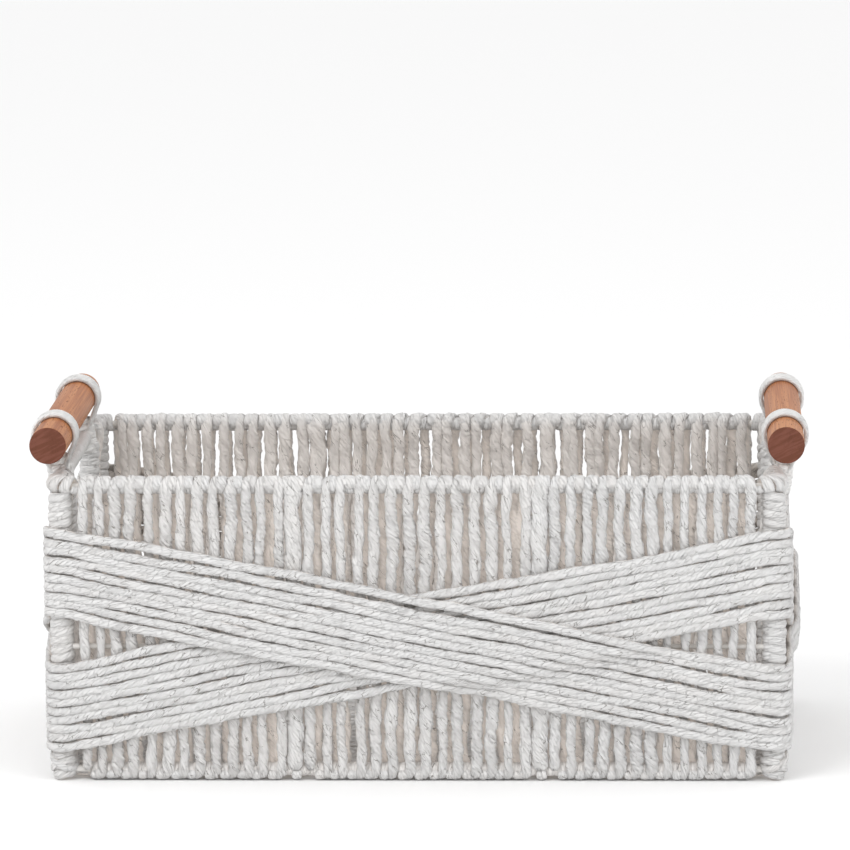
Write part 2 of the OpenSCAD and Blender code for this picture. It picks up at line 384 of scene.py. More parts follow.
def linked(name, data):
    """A new object in the scene."""
    made = bpy.data.objects.new(name, data)
    bpy.context.scene.collection.objects.link(made)
    return made


def add_piece(name, mesh, finish, body, nodes):
    """Hangs a mesh with its finish on its body, in place of the CAD nodes named."""
    mesh.materials.append(finish_of(finish))
    piece = linked(name, mesh)
    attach(piece, body)
    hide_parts(*nodes)


def mark(mesh, name, values):
    """Stores three numbers for each point of a mesh, for its finish to read."""
    layer = mesh.attributes.new(name, "FLOAT_VECTOR", "POINT")
    layer.data.foreach_set("vector", values.astype(np.float32).ravel())


class Strands:
    """Ropes gathered into one mesh, with what their finish needs along them."""

    def __init__(self, seed, columns=COLUMNS):
        self.rng = np.random.default_rng(seed)
        self.columns = columns
        self.points, self.lay, self.shade_and_tone_masks = [], [], []
        self.corners, self.sizes, self.spots = [], [], []
        self.vertices = 0
        self.run = 0.0

    def add(self, path, outward, width, depth, twist, lobe, rough, shaded=(0.2, -0.8),
            closed=False, tone=None, swell=0.08, dim=0.0, boxy=1.0):
        """Sweeps one rope along a path. Outward is the side that faces away from the wires."""
        rng, columns = self.rng, self.columns
        if closed:
            path, outward = (np.concatenate([line, line[:1]]) for line in (path, outward))
            forward = np.roll(path[:-1], -1, 0) - np.roll(path[:-1], 1, 0)
            forward = unit(np.concatenate([forward, forward[:1]]))
        else:
            forward = unit(np.gradient(path, axis=0))
        count = len(path)
        steps = np.linalg.norm(np.diff(path, axis=0), axis=1)
        along = np.concatenate([[0], np.cumsum(steps)])
        length = along[-1]
        loop = length if closed else None
        normal = unit(outward - (outward * forward).sum(1)[:, None] * forward)
        across = np.cross(forward, normal)
        rate = 1 + 0.4 * waves(rng, along, (0.07, 0.16), loop=loop)
        turn = np.concatenate([[0], np.cumsum(steps * (rate[1:] + rate[:-1]) / 2)]) / twist
        if closed:
            turn *= max(1, round(turn[-1])) / turn[-1]
        column = full_turn(columns)
        angle = column[None, :] + (turn * math.tau)[:, None]
        ridge = np.abs(np.cos(column))
        size = 1 + swell * waves(rng, along, (0.017, 0.04, 0.11), loop=loop)[:, None]
        shape = 1 - lobe + 2 * lobe * ridge[None, :] ** 0.8
        for share, fold in ((0.5, 0.034), (0.35, 0.016), (0.3, 0.007)):
            swing = rng.uniform(0, math.tau, columns)
            turns = max(1, round(length / fold / rng.uniform(0.85, 1.15)))
            shape = shape + rough * share * np.sin(
                turns * math.tau * along[:, None] / length + swing[None, :])
        ends = np.ones(count)
        if not closed:
            ends = 0.45 + 0.55 * smooth(0, 0.003, np.minimum(along, length - along))
        radius = size * shape * ends[:, None]
        width = np.broadcast_to(width, count)[:, None]
        c, s = np.cos(angle), np.sin(angle)
        offset = (
            (width / 2 * radius * np.sign(c) * np.abs(c) ** boxy)[..., None] * across[:, None, :]
            + (depth / 2 * radius * np.sign(s) * np.abs(s) ** boxy)[..., None] * normal[:, None, :]
        )
        self.points.append((path[:, None, :] + offset).reshape(-1, 3))
        place = np.empty((count, columns, 3))
        place[..., 0] = width / 2 * np.cos(column)
        place[..., 1] = width / 2 * np.sin(column)
        place[..., 2] = (along + self.run)[:, None]
        self.lay.append(place.reshape(-1, 3))
        shade_and_tone_masks = np.empty((count, columns, 3))
        # Painted shade mask: high on the side that faces in between the ropes, and never below the
        # least painted shade given.
        shade_and_tone_masks[..., 0] = np.maximum(smooth(-shaded[0], -shaded[1], -np.sin(angle)),
                                  np.broadcast_to(dim, count)[:, None])
        base = rng.uniform(0.72, 1.0) if tone is None else tone
        drift = waves(rng, along, (0.03, 0.3), loop=loop)
        shade_and_tone_masks[..., 1] = np.clip(base + 0.12 * drift, 0, 1)[:, None]
        # Painted shade mask for the valleys of the twist.
        shade_and_tone_masks[..., 2] = 1 - ridge
        self.shade_and_tone_masks.append(shade_and_tone_masks.reshape(-1, 3))
        self.skin(count, along, steps, width[0, 0], closed)

    def skin(self, count, along, steps, width, closed):
        """Adds the faces round one rope, and their places on the unrolled rope."""
        columns, first = self.columns, self.vertices
        ring, column, corners = tube_faces(count, columns)
        self.corners.append(first + corners.ravel())
        self.sizes.append(np.full(len(corners), 4))
        start = along[ring] + self.run
        stop = start + steps[ring]
        self.spots.append(np.stack([start, stop, stop, start,
                                    column, column, column + 1, column + 1], 1))
        if not closed:
            last = first + (count - 1) * columns
            order = np.arange(columns)
            self.corners.append(np.concatenate([first + order, last + order[::-1]]))
            self.sizes.append(np.array([columns, columns]))
            self.spots.append((self.run, self.run + along[-1]))
        self.vertices += count * columns
        self.run += along[-1] + width

    def make(self, name, finish, nodes, slot="paper_rope"):
        """Makes the piece, which stands for the CAD nodes named."""
        mesh = bpy.data.meshes.new(name)
        points = np.concatenate(self.points)
        corners = np.concatenate(self.corners)
        sizes = np.concatenate(self.sizes)
        mesh.vertices.add(len(points))
        mesh.vertices.foreach_set("co", points.astype(np.float32).ravel())
        mesh.loops.add(len(corners))
        mesh.loops.foreach_set("vertex_index", corners.astype(np.int32))
        mesh.polygons.add(len(sizes))
        starts = np.concatenate([[0], np.cumsum(sizes)[:-1]])
        mesh.polygons.foreach_set("loop_start", starts.astype(np.int32))
        mesh.update(calc_edges=True)
        mesh.shade_smooth()
        mark(mesh, "lay", np.concatenate(self.lay))
        mark(mesh, "shade_and_tone_masks", np.concatenate(self.shade_and_tone_masks))
        chart = mesh.uv_layers.new(name="OFBake")
        chart.uv.foreach_set("vector", self.unrolled().astype(np.float32).ravel())
        add_piece(name, mesh, finish, BASKET, nodes)

    def unrolled(self):
        """The rope laid flat in rows that fill a square, one place for each face corner."""
        rows = max(1, round(math.sqrt(self.run / LAID_GIRTH)))
        row_length = self.run / rows * ROW_WASTE
        places = []
        for spot in self.spots:
            if isinstance(spot, tuple):
                for end in spot:
                    row = min(rows - 1, int(end * rows / self.run))
                    u = (end - row * self.run / rows) / row_length
                    turn = full_turn(self.columns)
                    v = (row + 0.5 + 0.4 * np.sin(turn)) / rows
                    places.append(np.stack([u + 0.002 * np.cos(turn), v], 1))
                continue
            start = np.minimum(rows - 1, (spot[:, 0] * rows / self.run).astype(int))
            u = (spot[:, :4] - (start * self.run / rows)[:, None]) / row_length
            v = (start[:, None] + 0.04 + 0.92 * spot[:, 4:] / self.columns) / rows
            places.append(np.stack([u, v], 2).reshape(-1, 2))
        return np.concatenate(places)


def turned(points, quarter):
    """Points drawn for the front wall, turned round to another wall."""
    c, s = ((1, 0), (0, 1), (-1, 0), (0, -1))[quarter]
    x, y = points[:, 0], points[:, 1]
    return np.stack([c * x - s * y, s * x + c * y, points[:, 2]], 1)


FRONT, RIGHT_END, BACK, LEFT_END = range(4)
SIDES = ("front", "right", "back", "left")


def wall_plane(quarter):
    """Distance of a wall's middle from the middle of the basket."""
    return MID_Y if quarter % 2 == 0 else MID_X


def put(strands, quarter, along, away, up, out_away, out_up, **looks):
    """Adds a rope drawn along a wall: along it, away from its middle plane, and up."""
    path = np.stack([along, -(wall_plane(quarter) + away), up], 1)
    outward = np.stack([np.zeros_like(along), -out_away, out_up], 1)
    strands.add(turned(path, quarter), turned(outward, quarter), **looks)


def rope_places(start, stop, pitch, seed):
    """Where the ropes stand along a stretch of wall."""
    count = max(1, round((stop - start) / pitch) + 1)
    jitter = np.random.default_rng(seed).uniform(-0.0008, 0.0008, count)
    return np.linspace(start, stop, count) + jitter


def wound_panel(strands, quarter, places, low, high, width, twist, inner=None,
                spread=(0.30, 0.70)):
    """One rope wound up the outside of a wall at each place and down its inside between."""
    rng, count = strands.rng, len(places)
    reach, reach_low, depth, ring = 0.0040, 0.0036, 0.0043, 0.0023
    rise = np.linspace(low, high, max(8, int((high - low) / ring)))
    ease = smooth(low, low + 0.012, rise) * (1 - smooth(high - 0.014, high, rise))
    slack_in = np.ones_like(rise)
    for wire in (low, MID_WIRE_Z, high):
        slack_in = slack_in * smooth(0.004, 0.019, np.abs(rise - wire))
    bend = np.linspace(0, math.pi, 9)[1:-1]
    if inner is None:
        gaps = np.diff(places, append=2 * places[-1] - places[-2])
        inner = places + gaps * rng.uniform(*spread, count)
        inner[-1] = places[-1] - 0.3 * gaps[-1]
    up, flat = np.ones_like(rise), np.zeros_like(rise)
    parts = []

    def lay(across, away, height, out_away, out_up, girth, dim=0.0):
        size = len(across)
        parts.append((across, away, height, out_away, out_up, np.full(size, girth),
                      np.full(size, dim)))

    for index in range(count):
        outer_width, inner_width = width * rng.uniform((0.84, 0.95), (1.18, 1.2))
        slack = waves(rng, rise, (0.035, 0.07, 0.15), 0.0012) * ease
        bow = waves(rng, rise, (0.04, 0.09), 0.0004) * ease
        lay(places[index] + slack, reach + bow, rise, up, flat, outer_width)
        across = places[index] + (inner[index] - places[index]) * (1 - np.cos(bend)) / 2
        lay(across, reach * np.cos(bend), high + reach * np.sin(bend),
            np.cos(bend), np.sin(bend), width)
        slack = waves(rng, rise, (0.035, 0.07, 0.15), 0.0014) * ease
        sag = slack_in * rng.uniform(0.0012, 0.0028)
        # The inside ropes are painted with at least 0.6 of the painted shade all round.
        lay((inner[index] + slack)[::-1], (sag - reach)[::-1], rise[::-1], -up, flat,
            inner_width, 0.6)
        if index < count - 1:
            across = inner[index] + (places[index + 1] - inner[index]) * (1 - np.cos(bend)) / 2
            lay(across, -reach_low * np.cos(bend), low - reach_low * np.sin(bend),
                -np.cos(bend), -np.sin(bend), width)
    along, away, height, out_away, out_up, girth, dim = (
        np.concatenate(line) for line in zip(*parts))
    girth, dim = (np.convolve(np.pad(line, 4, "edge"), SOFTEN, "valid") for line in (girth, dim))
    put(strands, quarter, along, away, height, out_away, out_up, width=girth, depth=depth,
        twist=twist, lobe=0.10, rough=0.12, swell=0.14, dim=dim)


def ring_round(strands, quarter, place, height, reach, rise, **looks):
    """One closed turn of rope round a rim or base wire."""
    angle = full_turn(20)
    put(strands, quarter, np.full_like(angle, place), reach * np.cos(angle),
        height + rise * np.sin(angle), np.cos(angle), np.sin(angle), closed=True, **looks)


def coil(strands, spine, side, up, radius, pitch, width, depth, taper=0.0, **looks):
    """A rope wound round a spine. Side and up are the two directions across the spine."""
    steps = np.linalg.norm(np.diff(spine, axis=0), axis=1)
    along = np.concatenate([[0], np.cumsum(steps)])
    turns = max(1, round(along[-1] / pitch))
    sweep = np.linspace(0, turns, turns * 16 + 1)
    travel = sweep / turns * along[-1]
    phase = sweep * math.tau
    centre, side, up = (
        np.stack([np.interp(travel, along, line[:, axis]) for axis in range(3)], 1)
        for line in (spine, side, up))
    side, up = unit(side), unit(up)
    wobble = 1 + waves(strands.rng, travel, (0.006, 0.017), 0.035)
    wobble = wobble * (1 - taper * smooth(0.55, 1.0, sweep / turns))
    path = centre + (wobble * radius[0] * np.cos(phase))[:, None] * side + (
        wobble * radius[1] * np.sin(phase))[:, None] * up
    outward = np.cos(phase)[:, None] * side + np.sin(phase)[:, None] * up
    strands.add(path, outward, width, depth, **looks)


def straight(start, stop, side, up, count=12):
    """A straight spine with its two directions across."""
    t = np.linspace(0, 1, count)[:, None]
    start, stop = np.array(start, float), np.array(stop, float)
    return start + t * (stop - start), np.tile(side, (count, 1)), np.tile(up, (count, 1))


def along_wall(quarter, start, stop, lean, height):
    """A straight spine along a wall, leaning out from its middle plane."""
    plane = wall_plane(quarter) + lean
    ends = turned(np.array([[start, -plane, height], [stop, -plane, height]]), quarter)
    side = turned(np.array([[0, -1.0, 0]]), quarter)[0]
    return straight(*ends, side, (0, 0, 1.0), 40)


# ---- Finishes shared by the operators ----

# How strongly a paper rope's creases are painted dark, how strongly its deep paper glows with
# painted light, and how dark the painted shadow in its gaps is.
PAPER_LOOKS = {
    "twisted paper rope": (0.9, 0.24, 0.2), "band rope": (0.8, 0.12, 0.8),
    "smooth paper rope": (0.3, 0.24, 0.2), "loop rope": (0.15, 0.24, 0.2),
}


def finish_of(name):
    """The finish, made the first time it is asked for."""
    if name in bpy.data.materials:
        return bpy.data.materials[name]
    ropes, handles = bpy.context.scene.basket_ropes, bpy.context.scene.basket_handles
    if name in PAPER_LOOKS:
        paper = handles.rope if name == "loop rope" else ropes.paper
        return paper_finish(name, paper, ropes.painted_shade_and_tone, ropes.dark_fleck_and_shade, *PAPER_LOOKS[name])
    if name == "oiled wood":
        return wood_finish(
            name, handles.wood, handles.light_wood, handles.end_grain, handles.pore)
    return wire_finish(name, ropes.wire)


class BasketOperator:
    """What the basket's operators share."""
    bl_options = {"REGISTER", "UNDO"}

    def execute(self, context):
        self.build(context.scene.basket_ropes, context.scene.basket_handles)
        return {"FINISHED"}


class BASKET_OT_coat_wires(BasketOperator, bpy.types.Operator):
    """Gives the wire frame its white coating"""
    bl_idname = "basket.coat_wires"
    bl_label = "Coat the wires"

    def build(self, ropes, handles):
        for name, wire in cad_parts.items():
            if name.endswith(("_wire", "_wires", "_uprights")) or name.startswith("corner_post"):
                wire.data.materials.clear()
                wire.data.materials.append(finish_of("coated wire"))


# Room left beside a corner post and beside an upright; how far the ends' rim wrapping
# leans out; the top of the rim turns over the wire; the middle of a loop's neck; and a
# smooth, tightly laid turn.
CORNER_GAP = 0.0108
UPRIGHT_GAP = 0.0082
END_LEAN = 0.0020
RIM_CREST = 0.0047
NECK_X = MID_X + 0.0042
TIGHT = dict(twist=0.05, lobe=0.03, rough=0.07)
RIM_SEEDS = {FRONT: 21, RIGHT_END: 23, BACK: 22, LEFT_END: 24}


def long_wall_places(quarter, pitch):
    """The three groups of ropes in a long wall, between the corners and the uprights."""
    edge, near, far = POST_X - CORNER_GAP, UPRIGHT_X - UPRIGHT_GAP, UPRIGHT_X + UPRIGHT_GAP
    stretches = ((-edge, -far), (-near, near), (far, edge))
    return [rope_places(*stretch, pitch, 100 * quarter + group)
            for group, stretch in enumerate(stretches)]


class BASKET_OT_wind_walls(BasketOperator, bpy.types.Operator):
    """Winds rope up and down each wall, over the rim and under the base"""
    bl_idname = "basket.wind_walls"
    bl_label = "Wind the walls"

    def build(self, ropes, handles):
        looks = dict(width=ropes.rope_width, twist=ropes.twist_length)
        for wind, quarter, seed in (
                (self.wind_long_wall, FRONT, 11), (self.wind_long_wall, BACK, 12),
                (self.wind_end, RIGHT_END, 13), (self.wind_end, LEFT_END, 14)):
            strands = Strands(seed)
            self.tuck_base(strands, quarter, wind(strands, quarter, ropes.wall_pitch, looks))
            side = SIDES[quarter]
            strands.make(f"{side}_wall_ropes", "twisted paper rope",
                         [f"{side}_outer_ropes", f"{side}_inner_ropes"])

    def wind_long_wall(self, strands, quarter, pitch, looks):
        """A wall without an opening. Gives back where its ropes stand."""
        groups = long_wall_places(quarter, pitch)
        for group, places in enumerate(groups):
            open_gaps = quarter == BACK and group == 2
            wound_panel(strands, quarter, places, BASE_Z, RIM_Z,
                        spread=(0.02, 0.2) if open_gaps else (0.16, 0.72), **looks)
        for place in (-UPRIGHT_X, UPRIGHT_X):
            wound_panel(strands, quarter, np.array([place]), BASE_Z, RIM_Z, 0.0084, 0.034,
                        inner=np.array([place + 0.0004]))
        return np.concatenate(groups)

    def wind_end(self, strands, quarter, pitch, looks):
        """A wall round its hand opening. Gives back where its ropes stand."""
        edge, beside = POST_Y - CORNER_GAP, LOOP_Y + 0.0102
        below = rope_places(-LOOP_Y - 0.0025, LOOP_Y + 0.0025, pitch, 5 + quarter)
        wound_panel(strands, quarter, below, BASE_Z, BAR_Z, **looks)
        sides = []
        for side in (-1, 1):
            ends = sorted((side * edge, side * beside))
            places = rope_places(*ends, pitch, 7 * quarter + side + 1)
            wound_panel(strands, quarter, places, BASE_Z, RIM_Z, **looks)
            sides.append(places)
        return np.concatenate([sides[0], below, sides[1]])

    def tuck_base(self, strands, quarter, places):
        """Short turns round the base wire in the gaps between the ropes."""
        spine = along_wall(quarter, places[0], places[-1], 0.0, BASE_Z)
        # The base coil is painted with at least 0.35 of the painted shade all round.
        coil(strands, *spine, radius=(0.0028, 0.0028), pitch=0.0054, width=0.0060,
             depth=0.0022, dim=0.35, **TIGHT)
        for place in (places[1:] + places[:-1]) / 2:
            ring_round(strands, quarter, place + strands.rng.uniform(-0.0006, 0.0006),
                       BASE_Z - 0.0024, 0.0040, 0.0021 + strands.rng.uniform(-0.0003, 0.0004),
                       width=0.0052, depth=0.0024, twist=0.03, lobe=0.04, rough=0.08)


class BASKET_OT_wrap_rims(BasketOperator, bpy.types.Operator):
    """Turns rope round the rim between the wall ropes, and closely along the ends"""
    bl_idname = "basket.wrap_rims"
    bl_label = "Wrap the rims"

    def build(self, ropes, handles):
        for quarter in (FRONT, BACK):
            strands = Strands(RIM_SEEDS[quarter])
            places = np.sort(np.concatenate(
                [*long_wall_places(quarter, ropes.wall_pitch), [-UPRIGHT_X, UPRIGHT_X]]))
            self.wrap(strands, quarter, places[0], places[-1], 0.0, 0.0028, 0.0054)
            for near, far in zip(places, places[1:]):
                width = far - near - ropes.rope_width + 0.0026
                rise = 0.0029 + strands.rng.uniform(-0.0005, 0.0006)
                ring_round(strands, quarter, (near + far) / 2, RIM_Z + RIM_CREST - rise,
                           0.0043, rise, width=width, depth=0.0026, swell=0.1, **TIGHT)
            self.finish(strands, quarter)
        for quarter in (RIGHT_END, LEFT_END):
            strands = Strands(RIM_SEEDS[quarter])
            inner, outer = LOOP_Y - LOOP_WIDTH / 2, LOOP_Y + LOOP_WIDTH / 2
            for start, stop in ((-MID_Y + 0.009, -outer), (-inner, inner), (outer, MID_Y - 0.009)):
                self.wrap(strands, quarter, start, stop, END_LEAN, 0.0032, 0.0046)
            self.finish(strands, quarter)

    def wrap(self, strands, quarter, start, stop, lean, radius, pitch):
        """Rope wound closely along a stretch of rim, a little outward of its wire."""
        spine = along_wall(quarter, start, stop, lean, RIM_Z)
        coil(strands, *spine, radius=(radius, radius), pitch=pitch, width=1.15 * pitch,
             depth=0.0024, swell=0.12, tone=0.97, **TIGHT)

    def finish(self, strands, quarter):
        strands.make(f"{SIDES[quarter]}_rim_turns", "smooth paper rope",
                     [f"{SIDES[quarter]}_rim_wrap"])


class BASKET_OT_wrap_corners(BasketOperator, bpy.types.Operator):
    """Winds rope round the corner posts and the bends of the rim over them"""
    bl_idname = "basket.wrap_corners"
    bl_label = "Wrap the corners"

    def build(self, ropes, handles):
        corners = (("front_left", -1, -1), ("front_right", 1, -1), ("back_left", -1, 1),
                   ("back_right", 1, 1))
        for seed, (name, side_x, side_y) in enumerate(corners, 31):
            strands = Strands(seed)
            x, y = side_x * (POST_X + 0.0018), side_y * (POST_Y + 0.0008)
            spine = straight((x, y, 0.0028), (x, y, RIM_Z - 0.0018), (side_x, 0, 0),
                             (0, side_y, 0), 30)
            coil(strands, *spine, radius=(0.0048, 0.0046), pitch=0.0049, width=0.0060,
                 depth=0.0040, twist=0.04, lobe=0.04, rough=0.09, swell=0.14)
            self.wrap_bend(strands, side_x, side_y)
            self.knot(strands, x, y, side_x, side_y)
            strands.make(f"corner_turns_{name}", "smooth paper rope", [f"corner_wrap_{name}"])

    def knot(self, strands, x, y, side_x, side_y):
        """Two crossing turns that tie off the wrapping at a corner's foot."""
        angle = full_turn(24)
        around = np.stack([side_x * np.cos(angle), side_y * np.sin(angle), 0 * angle], 1)
        for tilt, height, reach in ((0.55, 0.0105, 0.0068), (-0.5, 0.0085, 0.0064)):
            path = np.array([x, y, height]) + reach * around
            path[:, 2] += reach * tilt * np.cos(angle + math.pi / 4)
            strands.add(path, around, 0.0042, 0.0026, twist=0.03, lobe=0.05, rough=0.1,
                        closed=True)

    def wrap_bend(self, strands, side_x, side_y):
        """Turns of rope on the rim where it bends round a corner."""
        bend = MID_X - half("front_rim_wrap")[0]
        centre_x, centre_y = MID_X + 0.0016 - bend, MID_Y - bend
        angle = np.linspace(0, math.pi / 2, 12)
        lead = np.linspace(0.003, 0, 3)[:-1]
        out_x = np.concatenate([np.ones(2), np.cos(angle), np.zeros(2)])
        out_y = np.concatenate([np.zeros(2), np.sin(angle), np.ones(2)])
        x = centre_x + bend * out_x - np.concatenate([np.zeros(14), lead[::-1]])
        y = centre_y + bend * out_y - np.concatenate([lead, np.zeros(14)])
        spine = np.stack([side_x * x, side_y * y, np.full_like(x, RIM_Z + 0.0009)], 1)
        side = np.stack([side_x * out_x, side_y * out_y, np.zeros_like(x)], 1)
        up = np.tile((0, 0, 1.0), (len(x), 1))
        coil(strands, spine, side, up, radius=(0.0047, 0.0036), pitch=0.0042, width=0.0060,
             depth=0.0032, twist=0.05, lobe=0.04, rough=0.09, swell=0.14)


class BASKET_OT_wrap_openings(BasketOperator, bpy.types.Operator):
    """Winds rope round the posts and the bar of each hand opening"""
    bl_idname = "basket.wrap_openings"
    bl_label = "Wrap the hand openings"

    def build(self, ropes, handles):
        for name, side_x, seed in (("left", -1, 41), ("right", 1, 43)):
            x = side_x * MID_X
            posts, bar = Strands(seed), Strands(seed + 1)
            for side_y in (-1, 1):
                y = side_y * LOOP_Y
                spine = straight((x, y, BAR_Z - 0.005), (x, y, RIM_Z - 0.0035), (side_x, 0, 0),
                                 (0, side_y, 0), 20)
                coil(posts, *spine, radius=(0.0042, 0.0042), pitch=0.0048, width=0.0056,
                     depth=0.0034, twist=0.04, lobe=0.03, rough=0.05, tone=0.95)
            spine = straight((x, -LOOP_Y + 0.003, BAR_Z), (x, LOOP_Y - 0.003, BAR_Z),
                             (side_x, 0, 0), (0, 0, 1.0), 40)
            coil(bar, *spine, radius=(0.0046, 0.0044), pitch=0.0052, width=0.0058, depth=0.0034,
                 twist=0.03, lobe=0.06, rough=0.07, swell=0.16)
            posts.make(f"{name}_opening_post_turns", "smooth paper rope",
                       [f"{name}_opening_post_wraps"])
            bar.make(f"{name}_opening_bar_turns", "smooth paper rope",
                     [f"{name}_opening_bar_wrap"])


class BASKET_OT_weave_floor(BasketOperator, bpy.types.Operator):
    """Weaves the floor's ropes over and under its cross wires"""
    bl_idname = "basket.weave_floor"
    bl_label = "Weave the floor"

    def build(self, ropes, handles):
        strands = Strands(51, 10)
        pitch, swing, wires = 0.0048, 0.0031, 7
        gap = 2 * CROSS_X / (wires - 1)
        edge = FLOOR_Y - 0.004
        places = np.arange(-edge, edge + pitch / 2, pitch)
        x = np.linspace(-FLOOR_X + 0.0015, FLOOR_X - 0.0015, 170)
        for index, y in enumerate(places):
            side = 1 if index % 2 else -1
            z = BASE_Z + side * swing * np.cos(math.pi * x / gap)
            wander = waves(strands.rng, x, (0.08, 0.19), 0.0006)
            path = np.stack([x, y + wander, z], 1)
            strands.add(path, np.tile((0, 0, 1.0), (len(x), 1)), 0.0048, 0.0042,
                        twist=ropes.twist_length, lobe=0.09, rough=0.05, shaded=(0.1, -0.7))
        strands.make("floor_weave", "twisted paper rope", ["floor_ropes"])


class BASKET_OT_wind_bands(BasketOperator, bpy.types.Operator):
    """Winds the two slanting bands round the outside, one crossing over the other"""
    bl_idname = "basket.wind_bands"
    bl_label = "Wind the bands"

    def build(self, ropes, handles):
        high = BAND_CEILING - ropes.band_height / 2
        low = BAND_FLOOR + ropes.band_height / 2
        for name, corners, over, seed in (
                ("over", (high, low, high, low), True, 61),
                ("under", (low, high, low, high), False, 62)):
            strands = Strands(seed)
            for index in range(ropes.band_ropes):
                place = (ropes.band_ropes - 1) / 2 - index
                self.wind(strands, corners, place, ropes, over)
            strands.make(f"{name}_band_ropes", "band rope",
                         [f"{side}_{name}_band" for side in SIDES])

    def wind(self, strands, corners, place, ropes, over):
        """One rope of a band, all the way round the basket."""
        bend, rest, dip, ring = 0.0098, 0.0084, 0.0010, 0.0021
        over_lift, top_rise, unevenness = 0.0043, 0.0022, 0.0011
        rise = place * (ropes.band_height / ropes.band_ropes)
        top = place > ropes.band_ropes / 2 - 1
        parts = []
        for quarter in (LEFT_END, FRONT, RIGHT_END, BACK):
            reach, post = (POST_X, POST_Y) if quarter % 2 == 0 else (POST_Y, POST_X)
            near, far = corners[quarter], corners[(quarter + 1) % 4]
            along = np.linspace(-reach, reach, int(2 * reach / ring))[:-1]
            t = (along + reach) / (2 * reach)
            height = near + (far - near) * t + rise
            across = far + (near - far) * t
            lift = 0.0
            if over:
                clear = np.abs(height - across) - ropes.band_height / 2
                lift = over_lift * (1 - smooth(-0.001, 0.010, clear))
            if top:
                height = height + top_rise * smooth(0, 0.12, t) * (1 - smooth(0.45, 0.8, t))
            away = rest + lift - dip * smooth(reach - 0.014, reach, np.abs(along))
            path = np.stack([along, -(wall_plane(quarter) + away), height], 1)
            outward = np.tile((0, -1.0, 0), (len(along), 1))
            parts.append((turned(path, quarter), turned(outward, quarter)))
            angle = np.linspace(-math.pi / 2, 0, 8)[:-1]
            swing = np.stack([np.cos(angle), np.sin(angle), np.zeros_like(angle)], 1)
            centre = np.array([reach, -post, far + rise])
            parts.append((turned(centre + bend * swing, quarter), turned(swing, quarter)))
        path, outward = (np.concatenate(line) for line in zip(*parts))
        turn = full_turn(len(path))
        for waves_round in (5, 9, 16, 27, 45):
            size = unevenness / math.sqrt(waves_round)
            path[:, 2] += size * np.sin(waves_round * turn + strands.rng.uniform(0, math.tau))
        path[:, 2] = np.convolve(np.pad(path[:, 2], 4, "wrap"), SOFTEN, "valid")
        strands.add(path, outward, 0.0051, 0.0038, twist=ropes.twist_length * 1.2, lobe=0.05,
                    rough=0.11, shaded=(0.12, -0.35), closed=True, swell=0.09, tone=0.97,
                    boxy=0.8)


class BASKET_OT_tie_loops(BasketOperator, bpy.types.Operator):
    """Turns rope round each dowel and the rim to make the four loops"""
    bl_idname = "basket.tie_loops"
    bl_label = "Tie the loops"

    def build(self, ropes, handles):
        for name, side_x, side_y, seed in (
                ("left_front", -1, -1, 71), ("left_back", -1, 1, 72),
                ("right_front", 1, -1, 73), ("right_back", 1, 1, 74)):
            strands = Strands(seed, 16)
            pitch = LOOP_WIDTH / handles.loop_turns
            for turn in range(handles.loop_turns):
                offset = (turn - (handles.loop_turns - 1) / 2) * pitch
                self.tie(strands, side_x, side_y * LOOP_Y + offset, pitch)
            self.neck(strands, side_x, side_y)
            strands.make(f"{name}_loop_rope", "loop rope", [f"{name}_loop"], "loop_rope")

    def tie(self, strands, side_x, y, pitch):
        """One turn of rope: over the dowel, down its sides and under the rim."""
        depth = 0.0027
        ring = DOWEL_R + 0.00025 + depth / 2
        top, foot = np.array([DOWEL_X, DOWEL_Z]), np.array([NECK_X, RIM_Z + 0.0052])
        foot_r = 0.0040
        axis = top - foot
        gap = np.linalg.norm(axis)
        lean = math.atan2(axis[1], axis[0])
        open_angle = math.acos((ring - foot_r) / gap)
        over = np.linspace(lean - math.pi + open_angle, lean + math.pi - open_angle, 40)
        under = np.linspace(lean + math.pi - open_angle, lean + math.pi + open_angle, 18)
        crown, sole = circle(over), circle(under)
        upper, lower = top + ring * crown, foot + foot_r * sole
        t = np.linspace(0, 1, 9)[1:-1, None]
        flat = np.concatenate([upper, upper[-1] + t * (lower[0] - upper[-1]), lower,
                               lower[-1] + t * (upper[0] - lower[-1])])
        out = np.concatenate([crown, np.tile(crown[-1], (len(t), 1)), sole,
                              np.tile(crown[0], (len(t), 1))])
        path = np.stack([side_x * flat[:, 0], np.full(len(flat), y), flat[:, 1]], 1)
        outward = np.stack([side_x * out[:, 0], np.zeros(len(flat)), out[:, 1]], 1)
        strands.add(path, outward, pitch * 1.02, depth, twist=0.012, lobe=0.02, rough=0.012,
                    closed=True, swell=0.015, tone=0.98, shaded=(-0.3, -1.0))

    def neck(self, strands, side_x, side_y):
        """Turns of rope that draw a loop together under the dowel and cover its foot."""
        low = np.array([side_x * (MID_X + 0.0022), side_y * LOOP_Y, RIM_Z - 0.009])
        high = np.array([side_x * NECK_X, side_y * LOOP_Y, RIM_Z + 0.0105])
        spine = straight(low, high, (side_x, 0, 0), (0, side_y, 0), 10)
        coil(strands, *spine, radius=(0.0060, LOOP_WIDTH / 2 + 0.0002), pitch=0.0036,
             width=0.0050, depth=0.0026, taper=0.3, twist=0.03, lobe=0.05, rough=0.09, tone=0.96)


